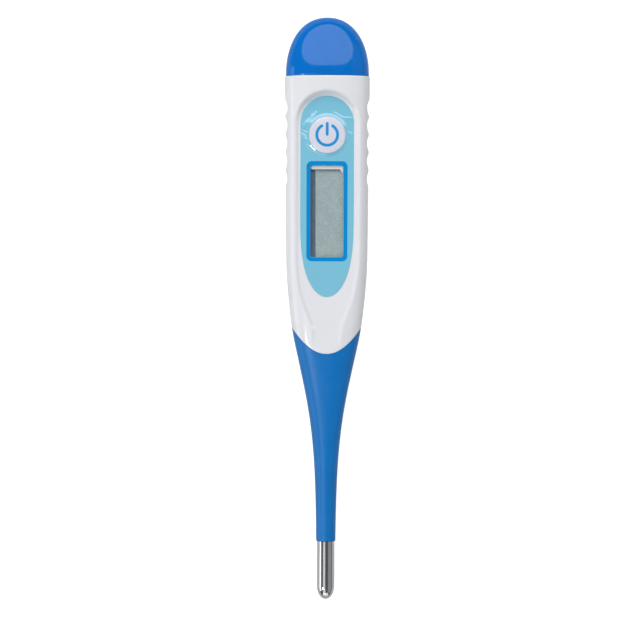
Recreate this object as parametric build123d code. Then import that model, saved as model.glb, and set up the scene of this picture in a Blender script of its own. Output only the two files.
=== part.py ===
from build123d import *
import math
import os

# Flexible-tip digital thermometer, in millimetres.
# It lies on its back: +Z is the display side, +Y is the battery-cap end, -Y is the metal tip.
# The origin is at the middle of its length and width, on the flat of the back.

# ---------------------------------------------------------------- overall sizes
LENGTH = 127.0
CAP_END_Y = LENGTH / 2
TIP_END_Y = -LENGTH / 2
CAP_JOINT_Y = 50.55
SLEEVE_END_Y = -50.75

BODY_HALF_WIDTH = 9.15
CAP_FLARE = 0.22
PROBE_RADIUS = 2.05
TAPER_MIDDLE_Y = -13.7
TAPER_LENGTH = 8.33
SHOULDER_SWELL = 0.17
SHOULDER_Y = -4.5
SHOULDER_LENGTH = 5.0

AXIS_Z = 4.70
BODY_CENTRE_RISE = 0.35
RISE_Y = 3.0
RISE_LENGTH = 4.0
BODY_ASPECT = 0.57
ROUNDING_Y = -23.0
ROUNDING_LENGTH = 5.0
SQUARENESS = 2.8
SQUARENESS_LENGTH = 6.0

BACK_Z = 0.0
BIG = 60.0
OVERCUT = 1.0

# ---------------------------------------------------------------- casing
WALL = 1.3
FLOOR_Z = 8.60
CEILING_Z = 7.40
RECESS_HALF_WIDTH = 5.95
RECESS_TOP_Y = 46.3
RECESS_SHOULDER_Y = 9.5
RECESS_NOSE_HALF_WIDTH = 1.9
RECESS_NOSE_Y = -6.5
RECESS_SLOPE = 52.0
RECESS_DEPTH = 1.9
RECESS_TOP_ROUND = 5.9
RECESS_SHOULDER_ROUND = 18.0
RECESS_NOSE_ROUND = 1.3
CAVITY_END_Y = -1.0
SPIGOT_TOP_Y = 0.5
SPIGOT_END_Y = -11.5
SPIGOT_INSET = 1.2
SPIGOT_WALL = 1.1
TONGUE_TIP_Y = -9.95
TONGUE_SIDE_Y = -4.15
TONGUE_SIDE_X = 7.6

GRIP_COUNT = 5
GRIP_FIRST_Y = 43.7
GRIP_PITCH = 3.88
GRIP_VALLEY_X = 8.72
GRIP_RADIUS = 3.3

# ---------------------------------------------------------------- face
FILM = 0.15
FILM_HALF_WIDTH = 5.80
FILM_TOP_Y = 46.15
FILM_BOTTOM_Y = 2.5
FILM_SHOULDER_Y = 20.0
FILM_FULLNESS = 2.8
WINDOW_WIDTH = 7.2
WINDOW_TOP_Y = 31.1
WINDOW_BOTTOM_Y = 11.1
WINDOW_CORNER = 0.5
LENS_DEPTH = 0.5
LENS_GAP = 0.03

BUTTON_Y = 37.65
BUTTON_RADIUS = 4.15
BUTTON_HOLE_RADIUS = 4.25
BUTTON_RISE = 0.28
BUTTON_CROWN = 0.15
BUTTON_FILM_HOLE = 4.3
PLUNGER_FLANGE_RADIUS = 4.7
PLUNGER_TOP_Z = 7.35
PLUNGER_BOTTOM_Z = 6.90
PLUNGER_NUB_RADIUS = 1.2
PLUNGER_NUB_Z = 6.80

# ---------------------------------------------------------------- display stack
LCD_HALF_WIDTH = 5.0
LCD_TOP_Y = 30.1
LCD_BOTTOM_Y = 8.6
LCD_LEDGE = 2.0
REFLECTOR_INSET = 0.3
POLARISER_INSET = 0.1
POLARISER_LEDGE = 0.8
ZEBRA_INSET = 0.3
ZEBRA_GAP = 0.2
ZEBRA_WIDTH = 1.5
GLASS = 0.40
REFLECTOR_Z = 6.30
POLARISER = 0.10
LCD_FRAME_HALF_WIDTH = 6.2
LCD_FRAME_TOP_Y = 32.4
LCD_FRAME_BOTTOM_Y = 7.2
LCD_FRAME_Z = 6.15
LCD_CLEARANCE = 0.1
LCD_LIP_GAP = 0.05
LCD_LIP_TOP_Z = 8.20

# ---------------------------------------------------------------- electronics
BOARD_Z = 5.50
BOARD = 0.60
BOARD_HALF_WIDTH = 6.3
BOARD_TOP_Y = 44.2
BOARD_BOTTOM_Y = 4.0
BOARD_CORNER = 1.2
BOARD_NOTCH_HALF_WIDTH = 1.2
BOARD_NOTCH_DEPTH = 0.8
CARRIER_HALF_WIDTH = 6.3
CARRIER_BOTTOM_Z = 2.3
CARRIER_TOP_Z = 5.48
CARRIER_RAIL = 0.9
CARRIER_BOTTOM_Y = 4.6
CARRIER_TOP_Y = 44.4
CARRIER_CLEARANCE = 0.12
CARRIER_RIBS_Y = (13.0, 28.5)
CARRIER_RIB_DROP = 1.4
CARRIER_RING_WALL = 1.0
CARRIER_RING_HEIGHT = 2.6
CARRIER_RING_GAP = 0.1
CARRIER_ARM_X = 3.6
CARRIER_ARM_HALF_WIDTH = 1.0
CARRIER_CONTACT_SLOT = 2.2
CARRIER_WIRE_HOLE = 0.8
BATTERY_RADIUS = 3.95
BATTERY_HEIGHT = 3.60
BATTERY_Y = 39.9
BATTERY_Z = 1.75
BATTERY_LID_RADIUS = 3.1
BATTERY_LID = 0.5
BATTERY_EDGE = 0.3
CONTACT = 0.12
CONTACT_HALF_WIDTH = 1.5
CONTACT_ARM_Y = 34.6
CONTACT_FOOT = 2.0
CONTACT_PAD_HALF_WIDTH = 2.4
CONTACT_PAD_HALF_LENGTH = 3.0
CONTACT_BOARD_GAP = 0.01
BUZZER_Y = 21.0
BUZZER_Z = 1.52
BUZZER_RADIUS = 4.5
BUZZER_CERAMIC_RADIUS = 3.2
BUZZER_LAYER = 0.15
CHIP_Y = 19.0
CHIP_RADIUS = 2.6
CHIP_HEIGHT = 1.0
SMALL_PART_HEIGHT = 0.5
SMALL_PART_HALF_WIDTH = 0.4
SMALL_PARTS = (
    # x, y, length
    (-3.6, 24.5, 1.6),
    (-3.6, 22.0, 1.0),
    (3.6, 24.5, 1.6),
    (3.6, 22.0, 1.0),
    (0.0, 26.4, 2.0),
)
SNAP_SPHERE_RADIUS = 8.0
SNAP_HEIGHT = 0.25
SNAP_SHEET = 0.1

# ---------------------------------------------------------------- battery cap
CAP_HALF_WIDTH = 9.17
CAP_HALF_HEIGHT = 5.2
CAP_FULLNESS = 2.2
CAP_WALL = 1.4
DOME_ANGLES = (0, 12, 24, 36, 48, 60, 70, 78, 84, 87.5)
SOCKET_HALF_WIDTH = 7.6
SOCKET_HALF_HEIGHT = 3.1
SOCKET_Z = 4.3
SOCKET_END_Y = 44.5
PLUG_GAP = 0.08
PLUG_END_Y = 45.9
PLUG_FLANGE = 1.2
PLUG_BOND = 0.02
PLUG_WALL = 1.0
RING_Y = 48.1
RING_WIDTH = 1.0
RING_DEPTH = 0.9
RING_SQUEEZE_GAP = 0.05
RING_SIDE_GAP = 0.02

# ---------------------------------------------------------------- flexible probe
HINGE_COUNT = 8
HINGE_FIRST_Y = -18.5
HINGE_PITCH = 4.0
BALL_FACTOR = 1.18
BALL_GAP = 0.10
WIRE_BORE = 0.95
WIRE_RADIUS = 0.18
WIRE_X = 0.32
WIRE_TOP_Y = 4.6

METAL_RADIUS = 1.95
METAL_WALL = 0.20
METAL_NOSE = 2.9
HOLDER_TOP_Y = -47.6
HOLDER_RADIUS = 1.40
HOLDER_END_Y = -55.5
HOLDER_BORE = 0.75
EPOXY_TOP_Y = -58.4
BEAD_Y = -61.4
BEAD_RADIUS = 0.60


def rise(value):
    """A smooth step from 0, far below zero, to 1, far above it."""
    return 1.0 / (1.0 + math.exp(-value))


def half_width(y):
    """Half the outline's width at y: the grip, tapering smoothly to the thin round probe."""
    taper = PROBE_RADIUS + (BODY_HALF_WIDTH - PROBE_RADIUS) * rise((y - TAPER_MIDDLE_Y) / TAPER_LENGTH)
    swell = SHOULDER_SWELL * math.exp(-(((y - SHOULDER_Y) / SHOULDER_LENGTH) ** 2))
    flare = CAP_FLARE * rise((y - 42.0) / 3.0)
    return taper + swell + flare


def half_height(y):
    """Half the thickness at y: flatter than wide in the casing, round at the probe."""
    aspect = BODY_ASPECT + (1.0 - BODY_ASPECT) * rise((ROUNDING_Y - y) / ROUNDING_LENGTH)
    return half_width(y) * aspect


def centre_height(y):
    return AXIS_Z + BODY_CENTRE_RISE * rise((y - RISE_Y) / RISE_LENGTH)


def squareness(y):
    """The superellipse's power at y: 2 is a true ellipse, more is squarer."""
    return 2.0 + (SQUARENESS - 2.0) * rise((y + 16.0) / SQUARENESS_LENGTH)


def superellipse(y, wide, high, middle_z, power, points=24):
    """A closed, smooth face across the object at y."""
    outline = []
    for step in range(points):
        angle = 2.0 * math.pi * step / points - math.pi / 2
        across = math.copysign(abs(math.cos(angle)) ** (2.0 / power), math.cos(angle))
        up = math.copysign(abs(math.sin(angle)) ** (2.0 / power), math.sin(angle))
        outline.append((wide * across, y, middle_z + high * up))
    return make_face(Spline(outline, periodic=True))


def body_section(y, inset=0.0):
    return superellipse(y, half_width(y) - inset, half_height(y) - inset, centre_height(y), squareness(y))


def body_loft(stations, inset=0.0):
    return loft([body_section(y, inset) for y in stations])


def span(top, bottom, count):
    """Evenly spaced stations from top to bottom."""
    return [top + (bottom - top) * step / (count - 1) for step in range(count)]


def block(x, y, z):
    """A box from (low, high) pairs."""
    size = (x[1] - x[0], y[1] - y[0], z[1] - z[0])
    middle = ((x[0] + x[1]) / 2, (y[0] + y[1]) / 2, (z[0] + z[1]) / 2)
    return Pos(*middle) * Box(*size)


def disc(radius, y, z, height):
    """An upright cylinder standing on z."""
    return Pos(0, y, z + height / 2) * Cylinder(radius, height)


def rod(radius, low_y, high_y, x=0.0, z=AXIS_Z):
    """A round bar along Y."""
    return Pos(x, (low_y + high_y) / 2, z) * Rot(90, 0, 0) * Cylinder(radius, high_y - low_y)


def below_back():
    return block((-BIG, BIG), (-2 * BIG, 2 * BIG), (BACK_Z - BIG, BACK_Z))


def rounded_face(points, radii):
    """A flat face at z = 0 from corner points and one fillet radius for each corner."""
    return make_face(FilletPolyline(*points, radius=radii, close=True))


def raised(face, z, height):
    return extrude(Pos(0, 0, z) * face, amount=height, dir=(0, 0, 1))


# ---------------------------------------------------------------- whole outer form
def outer_form():
    """The one smooth outer skin of casing and sleeve, before it is divided."""
    stations = span(CAP_JOINT_Y, 8.0, 8) + span(3.0, -43.0, 12) + [SLEEVE_END_Y]
    return body_loft(stations) - below_back()


def tongue_boundary():
    """The space on the casing's side of the curved line where casing and sleeve meet."""
    depth = TONGUE_SIDE_Y - TONGUE_TIP_Y
    reach = 2 * TONGUE_SIDE_X
    left = (-reach, TONGUE_TIP_Y + depth * 4)
    right = (reach, TONGUE_TIP_Y + depth * 4)
    under = (0, TONGUE_TIP_Y - depth * 4)
    curve = Bezier(left, under, right)
    lid = Polyline(right, (reach, BIG), (-reach, BIG), left)
    return raised(make_face(curve + lid), -BIG / 2, BIG)


def spigot():
    """The casing's nose under the sleeve, which the sleeve is moulded over."""
    return body_loft(span(SPIGOT_TOP_Y, SPIGOT_END_Y, 5), SPIGOT_INSET) - below_back()


def nose_hollow():
    return body_loft(span(SPIGOT_TOP_Y, SPIGOT_END_Y - OVERCUT / 2, 5), SPIGOT_INSET + SPIGOT_WALL)


def recess():
    """The sunk field around the label, with sloping sides."""
    corners = [
        (-RECESS_HALF_WIDTH, RECESS_TOP_Y),
        (-RECESS_HALF_WIDTH, RECESS_SHOULDER_Y),
        (-RECESS_NOSE_HALF_WIDTH, RECESS_NOSE_Y),
        (RECESS_NOSE_HALF_WIDTH, RECESS_NOSE_Y),
        (RECESS_HALF_WIDTH, RECESS_SHOULDER_Y),
        (RECESS_HALF_WIDTH, RECESS_TOP_Y),
    ]
    side = [RECESS_TOP_ROUND, RECESS_SHOULDER_ROUND, RECESS_NOSE_ROUND]
    face = rounded_face(corners, side + side[::-1])
    return extrude(Pos(0, 0, FLOOR_Z) * face, amount=RECESS_DEPTH, dir=(0, 0, 1), taper=-RECESS_SLOPE)


def window_block(gap, low_z, high_z):
    half = WINDOW_WIDTH / 2 - gap
    middle_y = (WINDOW_TOP_Y + WINDOW_BOTTOM_Y) / 2
    face = RectangleRounded(2 * half, WINDOW_TOP_Y - WINDOW_BOTTOM_Y - 2 * gap, WINDOW_CORNER)
    return raised(Pos(0, middle_y, 0) * face, low_z, high_z - low_z)


def grip_cutters():
    """Shallow finger scallops down both sides."""
    cutters = []
    for side in (-1, 1):
        for row in range(GRIP_COUNT):
            x = side * (GRIP_VALLEY_X + GRIP_RADIUS)
            cutters.append(Pos(x, GRIP_FIRST_Y - GRIP_PITCH * row, 0) * Cylinder(GRIP_RADIUS, BIG))
    return cutters


def socket_form(gap, low_y, high_y):
    """The socket's shape, made smaller all round by gap; the cap's plug has it too."""
    face = superellipse(low_y, SOCKET_HALF_WIDTH - gap, SOCKET_HALF_HEIGHT - gap, SOCKET_Z, SQUARENESS)
    return extrude(face, amount=high_y - low_y, dir=(0, 1, 0))


def casing_cavity():
    main = body_loft(span(SOCKET_END_Y + OVERCUT / 2, CAVITY_END_Y, 8), WALL)
    main -= block((-BIG, BIG), (-BIG, BIG), (CEILING_Z, BIG))
    return main + socket_form(0.0, SOCKET_END_Y, CAP_JOINT_Y + OVERCUT)


def casing():
    shell = outer_form() & tongue_boundary()
    shell = shell + spigot() - casing_cavity() - nose_hollow() - recess()
    shell -= window_block(0.0, CEILING_Z - OVERCUT, FLOOR_Z + OVERCUT)
    shell -= disc(BUTTON_HOLE_RADIUS, BUTTON_Y, CEILING_Z - OVERCUT, FLOOR_Z - CEILING_Z + 2 * OVERCUT)
    for cutter in grip_cutters():
        shell -= cutter
    return shell


# ---------------------------------------------------------------- face
def label_outline():
    """Straight sides, a half-round top and a smooth U at the bottom."""
    round_y = FILM_TOP_Y - FILM_HALF_WIDTH
    bottom = []
    for angle in span(0, 90, 6):
        drop = math.sin(math.radians(angle)) ** (2.0 / FILM_FULLNESS)
        bottom.append((FILM_HALF_WIDTH * math.cos(math.radians(angle)),
                       FILM_SHOULDER_Y - (FILM_SHOULDER_Y - FILM_BOTTOM_Y) * drop))
    across = bottom + [(-x, y) for x, y in reversed(bottom[:-1])]
    curve = Spline(*across, tangents=((0, -1), (0, 1)))
    left = Line((-FILM_HALF_WIDTH, FILM_SHOULDER_Y), (-FILM_HALF_WIDTH, round_y))
    top = ThreePointArc((-FILM_HALF_WIDTH, round_y), (0, FILM_TOP_Y), (FILM_HALF_WIDTH, round_y))
    right = Line((FILM_HALF_WIDTH, round_y), (FILM_HALF_WIDTH, FILM_SHOULDER_Y))
    return make_face(curve + left + top + right)


def label_film():
    film = raised(label_outline(), FLOOR_Z, FILM)
    film -= window_block(0.0, FLOOR_Z - OVERCUT, FLOOR_Z + OVERCUT)
    return film - disc(BUTTON_FILM_HOLE, BUTTON_Y, FLOOR_Z - OVERCUT, 2 * OVERCUT)


def display_window():
    top = FLOOR_Z + FILM
    return window_block(LENS_GAP, top - LENS_DEPTH, top)


def button_cap():
    """A white disc with a gently domed top."""
    rim_z = FLOOR_Z + FILM + BUTTON_RISE
    sphere_radius = (BUTTON_RADIUS ** 2 + BUTTON_CROWN ** 2) / (2 * BUTTON_CROWN)
    ball = Pos(0, BUTTON_Y, rim_z + BUTTON_CROWN - sphere_radius) * Sphere(sphere_radius)
    return disc(BUTTON_RADIUS, BUTTON_Y, PLUNGER_TOP_Z, rim_z + OVERCUT - PLUNGER_TOP_Z) & ball


def button_plunger():
    flange = disc(PLUNGER_FLANGE_RADIUS, BUTTON_Y, PLUNGER_BOTTOM_Z, PLUNGER_TOP_Z - PLUNGER_BOTTOM_Z)
    return flange + disc(PLUNGER_NUB_RADIUS, BUTTON_Y, PLUNGER_NUB_Z, PLUNGER_TOP_Z - PLUNGER_NUB_Z)


# ---------------------------------------------------------------- display stack
def lcd_sheet(low_y, low_z, thickness, inset=0.0):
    half = LCD_HALF_WIDTH - inset
    return block((-half, half), (low_y, LCD_TOP_Y - inset), (low_z, low_z + thickness))


def lcd_reflector():
    return lcd_sheet(LCD_BOTTOM_Y + LCD_LEDGE + REFLECTOR_INSET, REFLECTOR_Z, POLARISER, REFLECTOR_INSET)


def lcd_rear_glass():
    return lcd_sheet(LCD_BOTTOM_Y + LCD_LEDGE, REFLECTOR_Z + POLARISER, GLASS)


def lcd_front_glass():
    return lcd_sheet(LCD_BOTTOM_Y, REFLECTOR_Z + POLARISER + GLASS, GLASS)


def lcd_polariser():
    low_z = REFLECTOR_Z + POLARISER + 2 * GLASS
    return lcd_sheet(LCD_BOTTOM_Y + POLARISER_LEDGE, low_z, POLARISER, POLARISER_INSET)


def zebra_connector():
    high_z = REFLECTOR_Z + POLARISER + GLASS
    half = LCD_HALF_WIDTH - ZEBRA_INSET
    low_y = LCD_BOTTOM_Y + ZEBRA_GAP
    return block((-half, half), (low_y, low_y + ZEBRA_WIDTH), (BOARD_Z + BOARD, high_z))


def lcd_frame():
    """The white frame that holds the glass against the casing, with a lip that shows in the window."""
    gap = LCD_CLEARANCE
    half = LCD_FRAME_HALF_WIDTH
    frame = block((-half, half), (LCD_FRAME_BOTTOM_Y, LCD_FRAME_TOP_Y), (LCD_FRAME_Z, CEILING_Z))
    inner = LCD_HALF_WIDTH + gap
    frame -= block((-inner, inner), (LCD_BOTTOM_Y - gap, LCD_TOP_Y + gap), (0, BIG))
    lip = window_block(LCD_LIP_GAP, CEILING_Z, LCD_LIP_TOP_Z)
    return frame + (lip & block((-BIG, BIG), (LCD_TOP_Y + gap, BIG), (0, BIG)))


# ---------------------------------------------------------------- electronics
def circuit_board():
    """The board, with a notch for the probe wires and clipped corners at the cap end."""
    middle_y = (BOARD_TOP_Y + BOARD_BOTTOM_Y) / 2
    length = BOARD_TOP_Y - BOARD_BOTTOM_Y
    face = Pos(0, middle_y) * RectangleRounded(2 * BOARD_HALF_WIDTH, length, BOARD_CORNER)
    board = raised(face, BOARD_Z, BOARD)
    half = BOARD_NOTCH_HALF_WIDTH
    notch = (BOARD_BOTTOM_Y - OVERCUT, BOARD_BOTTOM_Y + BOARD_NOTCH_DEPTH)
    return board - block((-half, half), notch, (0, BIG))


def carrier_ring(inner):
    """The wall around the battery, with an arm to each rail and a slot for the lower contact."""
    top = CARRIER_BOTTOM_Z + CARRIER_RING_HEIGHT
    ring = disc(BATTERY_RADIUS + CARRIER_RING_WALL, BATTERY_Y, CARRIER_BOTTOM_Z, CARRIER_RING_HEIGHT)
    for low_x, high_x in ((-inner, -CARRIER_ARM_X), (CARRIER_ARM_X, inner)):
        low_y = BATTERY_Y - CARRIER_ARM_HALF_WIDTH
        high_y = BATTERY_Y + CARRIER_ARM_HALF_WIDTH
        ring += block((low_x, high_x), (low_y, high_y), (CARRIER_BOTTOM_Z, top))
    ring -= disc(BATTERY_RADIUS + CARRIER_RING_GAP, BATTERY_Y, 0, BIG)
    slot = CARRIER_CONTACT_SLOT
    ring -= block((-slot, slot), (CONTACT_ARM_Y - CONTACT_HALF_WIDTH, BATTERY_Y), (0, BIG))
    return ring - block((-BIG, BIG), (CARRIER_TOP_Y, BIG), (0, BIG))


def board_carrier():
    """A tray of two rails and cross ribs, with a ring wall around the battery."""
    half = CARRIER_HALF_WIDTH
    inner = half - CARRIER_RAIL
    tray = block((-half, half), (CARRIER_BOTTOM_Y, CARRIER_TOP_Y), (CARRIER_BOTTOM_Z, CARRIER_TOP_Z))
    tray -= block((-inner, inner), (CARRIER_BOTTOM_Y + CARRIER_RAIL, CARRIER_TOP_Y + OVERCUT), (0, BIG))
    for rib_y in CARRIER_RIBS_Y:
        rib_top = CARRIER_TOP_Z - CARRIER_RIB_DROP
        tray += block((-half, half), (rib_y, rib_y + CARRIER_RAIL), (CARRIER_BOTTOM_Z, rib_top))
    tray += carrier_ring(inner)
    stations = span(CARRIER_TOP_Y + OVERCUT, CARRIER_BOTTOM_Y - OVERCUT, 5)
    tray &= body_loft(stations, WALL + CARRIER_CLEARANCE)
    return tray - rod(CARRIER_WIRE_HOLE, 0.0, CARRIER_BOTTOM_Y + 2 * CARRIER_RAIL)


def battery():
    """A button cell: the can, and the smaller negative lid below it."""
    can = disc(BATTERY_RADIUS, BATTERY_Y, BATTERY_Z + BATTERY_LID, BATTERY_HEIGHT - BATTERY_LID)
    can = fillet(can.edges().filter_by(GeomType.CIRCLE), BATTERY_EDGE)
    return can + disc(BATTERY_LID_RADIUS, BATTERY_Y, BATTERY_Z, BATTERY_LID + BATTERY_EDGE)


def battery_contact_positive():
    """A flat spring strip between the can and the board."""
    top = BOARD_Z - CONTACT_BOARD_GAP
    half = CONTACT_PAD_HALF_WIDTH
    length = CONTACT_PAD_HALF_LENGTH
    return block((-half, half), (BATTERY_Y - length, BATTERY_Y + length), (top - CONTACT, top))


def battery_contact_negative():
    """A strip under the cell, turned up to the board in front of it."""
    half = CONTACT_HALF_WIDTH
    low = BATTERY_Z - CONTACT
    foot = block((-half, half), (CONTACT_ARM_Y, BATTERY_Y + CONTACT_FOOT), (low, BATTERY_Z))
    return foot + block((-half, half), (CONTACT_ARM_Y, CONTACT_ARM_Y + CONTACT), (low, BOARD_Z))


def chip_cover():
    """The epoxy drop over the bonded chip, on the underside of the board."""
    radius = (CHIP_RADIUS ** 2 + CHIP_HEIGHT ** 2) / (2 * CHIP_HEIGHT)
    ball = Pos(0, CHIP_Y, BOARD_Z - CHIP_HEIGHT + radius) * Sphere(radius)
    return ball & block((-BIG, BIG), (-BIG, BIG), (0, BOARD_Z))


def board_components():
    """Small surface-mounted parts on the underside of the board."""
    group = []
    half = SMALL_PART_HALF_WIDTH
    for x, y, length in SMALL_PARTS:
        x_span = (x - length / 2, x + length / 2)
        group.append(block(x_span, (y - half, y + half), (BOARD_Z - SMALL_PART_HEIGHT, BOARD_Z)))
    return Compound(children=group)


def snap_dome():
    """The thin metal dome that clicks under the button."""
    middle_z = BOARD_Z + BOARD + SNAP_HEIGHT - SNAP_SPHERE_RADIUS
    shell = Sphere(SNAP_SPHERE_RADIUS) - Sphere(SNAP_SPHERE_RADIUS - SNAP_SHEET)
    shell = Pos(0, BUTTON_Y, middle_z) * shell
    return shell & block((-BIG, BIG), (-BIG, BIG), (BOARD_Z + BOARD, BIG))


def buzzer_plate():
    return disc(BUZZER_RADIUS, BUZZER_Y, BUZZER_Z, BUZZER_LAYER)


def buzzer_ceramic():
    return disc(BUZZER_CERAMIC_RADIUS, BUZZER_Y, BUZZER_Z + BUZZER_LAYER, BUZZER_LAYER)


# ---------------------------------------------------------------- battery cap
def dome_section(fraction, inset):
    """One section of the dome, at a fraction of its length from the joint."""
    length = CAP_END_Y - CAP_JOINT_Y - inset
    shrink = (1.0 - fraction ** CAP_FULLNESS) ** (1.0 / CAP_FULLNESS)
    wide = (CAP_HALF_WIDTH - inset) * shrink
    high = (CAP_HALF_HEIGHT - inset) * shrink
    power = 2.0 + (SQUARENESS - 2.0) * (1.0 - fraction ** 2)
    return superellipse(CAP_JOINT_Y + length * fraction, wide, high, centre_height(CAP_JOINT_Y), power)


def dome(inset=0.0):
    fractions = [math.sin(math.radians(angle)) for angle in DOME_ANGLES]
    tip_y = CAP_END_Y - inset
    sections = [dome_section(fraction, inset) for fraction in fractions]
    return loft(sections + [Vertex(0, tip_y, centre_height(CAP_JOINT_Y))])


def cap_shell():
    return dome() - below_back() - dome(CAP_WALL)


def cap_plug():
    """The hollow plug that closes the casing, with a groove for the sealing ring."""
    plug = socket_form(PLUG_GAP, PLUG_END_Y, CAP_JOINT_Y)
    plug += dome(CAP_WALL + PLUG_BOND) & block((-BIG, BIG), (-BIG, CAP_JOINT_Y + PLUG_FLANGE), (-BIG, BIG))
    plug -= socket_form(PLUG_GAP + RING_DEPTH + PLUG_WALL, PLUG_END_Y - OVERCUT, CAP_JOINT_Y)
    low = RING_Y - RING_WIDTH / 2
    high = RING_Y + RING_WIDTH / 2
    groove = socket_form(-OVERCUT, low, high) - socket_form(PLUG_GAP + RING_DEPTH, low, high)
    return plug - groove


def cap_seal():
    """The rubber ring in the plug's groove."""
    low = RING_Y - RING_WIDTH / 2 + RING_SIDE_GAP
    high = RING_Y + RING_WIDTH / 2 - RING_SIDE_GAP
    inside = socket_form(PLUG_GAP + RING_DEPTH, low - OVERCUT, high + OVERCUT)
    return socket_form(RING_SQUEEZE_GAP, low, high) - inside


# ---------------------------------------------------------------- flexible probe
def hinge_y(index):
    return HINGE_FIRST_Y - HINGE_PITCH * index


def ball(index, gap=0.0):
    """The ball-shaped face between two lengths of sleeve, centred on their hinge."""
    y = hinge_y(index)
    return Pos(0, y, AXIS_Z) * Sphere(half_width(y) * BALL_FACTOR + gap)


def beyond(y):
    """All space on the tip's side of y."""
    return block((-BIG, BIG), (-3 * BIG, y), (-BIG, BIG))


def sleeve_body():
    """The whole soft sleeve, with the bore for the wires and the seat for the tip holder."""
    sleeve = outer_form() - tongue_boundary() - spigot()
    sleeve -= rod(WIRE_BORE, SLEEVE_END_Y - OVERCUT, SPIGOT_END_Y + OVERCUT)
    return sleeve - rod(HOLDER_RADIUS, SLEEVE_END_Y - OVERCUT, HOLDER_TOP_Y)


def sleeve_lengths(sleeve):
    """The sleeve cut into short lengths that turn on one another, root first."""
    lengths = []
    for index in range(HINGE_COUNT + 1):
        piece = sleeve
        if index > 0:
            above = ball(index - 1) + beyond(hinge_y(index - 1))
            piece = piece & above
        if index < HINGE_COUNT:
            piece = piece - ball(index, BALL_GAP) - beyond(hinge_y(index))
        lengths.append(piece)
    return lengths


def tip_profile(radius, nose, low_end_y):
    """A round bar with a slightly long rounded end at low_end_y, open at the top."""
    straight_y = low_end_y + nose
    tip = Pos(0, straight_y, AXIS_Z) * Rot(90, 0, 0) * scale(Sphere(radius), by=(1, 1, nose / radius))
    return tip + rod(radius, straight_y, SLEEVE_END_Y)


def metal_shell():
    return tip_profile(METAL_RADIUS, METAL_NOSE, TIP_END_Y)


def metal_hollow():
    return tip_profile(METAL_RADIUS - METAL_WALL, METAL_NOSE - METAL_WALL, TIP_END_Y + METAL_WALL)


def wires():
    """The two thermistor leads, side by side down the probe."""
    return [rod(WIRE_RADIUS, BEAD_Y, WIRE_TOP_Y, side * WIRE_X) for side in (-1, 1)]


def bead():
    return Pos(0, BEAD_Y, AXIS_Z) * Sphere(BEAD_RADIUS)


def tip_holder():
    holder = rod(HOLDER_RADIUS, SLEEVE_END_Y, HOLDER_TOP_Y)
    holder += rod(METAL_RADIUS - METAL_WALL, HOLDER_END_Y, SLEEVE_END_Y)
    return holder - rod(HOLDER_BORE, HOLDER_END_Y - OVERCUT, HOLDER_TOP_Y + OVERCUT)


def thermal_epoxy():
    fill = metal_hollow() & beyond(EPOXY_TOP_Y)
    fill -= bead()
    for wire in wires():
        fill -= wire
    return fill


def lead_wires():
    return Compound(children=[wire - bead() for wire in wires()])


# ---------------------------------------------------------------- export
def save(shape, name):
    export_step(shape, "parts/" + name + ".step")


os.makedirs("parts", exist_ok=True)

PIECES = (
    casing, label_film, display_window, button_cap, button_plunger,
    lcd_frame, lcd_polariser, lcd_front_glass, lcd_rear_glass, lcd_reflector, zebra_connector,
    circuit_board, board_carrier, board_components, chip_cover, snap_dome, buzzer_plate, buzzer_ceramic,
    battery, battery_contact_positive, battery_contact_negative,
    cap_shell, cap_plug, cap_seal,
    tip_holder, thermal_epoxy, lead_wires,
)
for piece in PIECES:
    save(piece(), piece.__name__)

save(metal_shell() - metal_hollow(), "metal_tip")
save(bead(), "thermistor_bead")

for number, part in enumerate(sleeve_lengths(sleeve_body())):
    save(part, "sleeve_root" if number == 0 else "sleeve_" + str(number))
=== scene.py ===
import bmesh
import bpy
import math
from mathutils import Euler, Matrix, Vector
from mathutils.geometry import tessellate_polygon


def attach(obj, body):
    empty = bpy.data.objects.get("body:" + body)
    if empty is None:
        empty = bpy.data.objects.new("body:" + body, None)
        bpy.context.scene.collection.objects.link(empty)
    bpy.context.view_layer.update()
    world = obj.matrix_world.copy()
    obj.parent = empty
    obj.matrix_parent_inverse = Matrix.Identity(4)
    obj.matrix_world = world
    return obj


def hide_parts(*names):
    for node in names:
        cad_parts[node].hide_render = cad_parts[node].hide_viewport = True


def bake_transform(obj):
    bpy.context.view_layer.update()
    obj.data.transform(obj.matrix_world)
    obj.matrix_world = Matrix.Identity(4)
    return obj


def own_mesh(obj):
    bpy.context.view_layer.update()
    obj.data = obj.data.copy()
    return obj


# Flexible-tip digital thermometer lying on its back.
# Shapes are worked out in millimetres and placed in metres.
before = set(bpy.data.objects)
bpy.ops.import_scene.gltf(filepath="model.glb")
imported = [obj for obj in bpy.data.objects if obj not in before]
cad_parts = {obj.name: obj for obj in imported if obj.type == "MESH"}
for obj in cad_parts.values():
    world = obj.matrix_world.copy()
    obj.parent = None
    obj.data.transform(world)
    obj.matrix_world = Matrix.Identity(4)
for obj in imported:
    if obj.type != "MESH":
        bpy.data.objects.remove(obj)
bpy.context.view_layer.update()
MM = 0.001

# ---------------- sizes, in millimetres
CAP_JOINT_Y = 50.55
CAP_END_Y = 63.5
TIP_END_Y = -63.5
SLEEVE_END_Y = -50.75
AXIS_Z = 4.70
FLOOR_Z = 8.60
FILM_TOP_Z = 8.75
CEILING_Z = 7.40
WALL = 1.3
BUTTON_Y = 37.65
BUTTON_RADIUS = 4.0
BUTTON_RIM_Z = 9.03
BUTTON_CROWN = 0.15
HINGE_FIRST_Y = -18.5
HINGE_PITCH = 4.0
HINGE_COUNT = 8

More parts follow.
